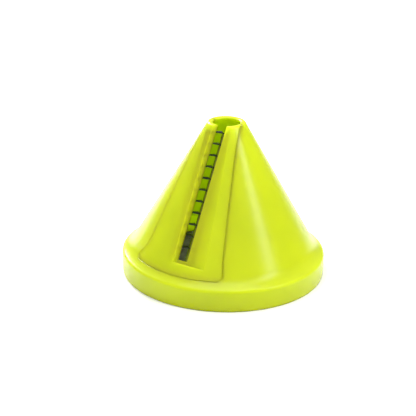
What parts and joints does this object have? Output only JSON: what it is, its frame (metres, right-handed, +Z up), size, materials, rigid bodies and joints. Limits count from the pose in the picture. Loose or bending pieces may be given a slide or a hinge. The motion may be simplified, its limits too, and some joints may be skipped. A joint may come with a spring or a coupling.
{
  "type": "conical spiral vegetable cutter",
  "caption": "Hand-held funnel with a lift-out insert whose steel blade and row of julienne teeth cut a turned vegetable into strips.",
  "frame": {"origin": "on the axis, in the plane that the rim stands on", "axes": "+Z up the axis towards the tip, and the slot faces -Y"},
  "size_m": [0.088, 0.088, 0.0675],
  "materials": {
    "funnel_plastic": "glossy moulded plastic, lime green",
    "insert_plastic": "glossy moulded plastic, lime green",
    "bar_plastic": "moulded plastic, lime green",
    "blade_steel": "fine-ground stainless with a brighter bevel",
    "tooth_steel": "stamped stainless"
  },
  "bodies": {
    "funnel": {"funnel_body": "funnel_plastic"},
    "insert": {"blade_insert": "insert_plastic", "main_blade": "blade_steel", "blade_bar": "bar_plastic", "tooth_bar": "bar_plastic", "julienne_tooth_01": "tooth_steel", "julienne_tooth_02": "tooth_steel", "julienne_tooth_03": "tooth_steel", "julienne_tooth_04": "tooth_steel", "julienne_tooth_05": "tooth_steel", "julienne_tooth_06": "tooth_steel", "julienne_tooth_07": "tooth_steel", "julienne_tooth_08": "tooth_steel", "julienne_tooth_09": "tooth_steel", "julienne_tooth_10": "tooth_steel", "julienne_tooth_11": "tooth_steel"}
  },
  "joints": [
    {"name": "insert_lift", "type": "slide", "parent": "funnel", "child": "insert", "axis": [0, -0.866, 0.5], "range_m": [0, 0.04]}
  ]
}
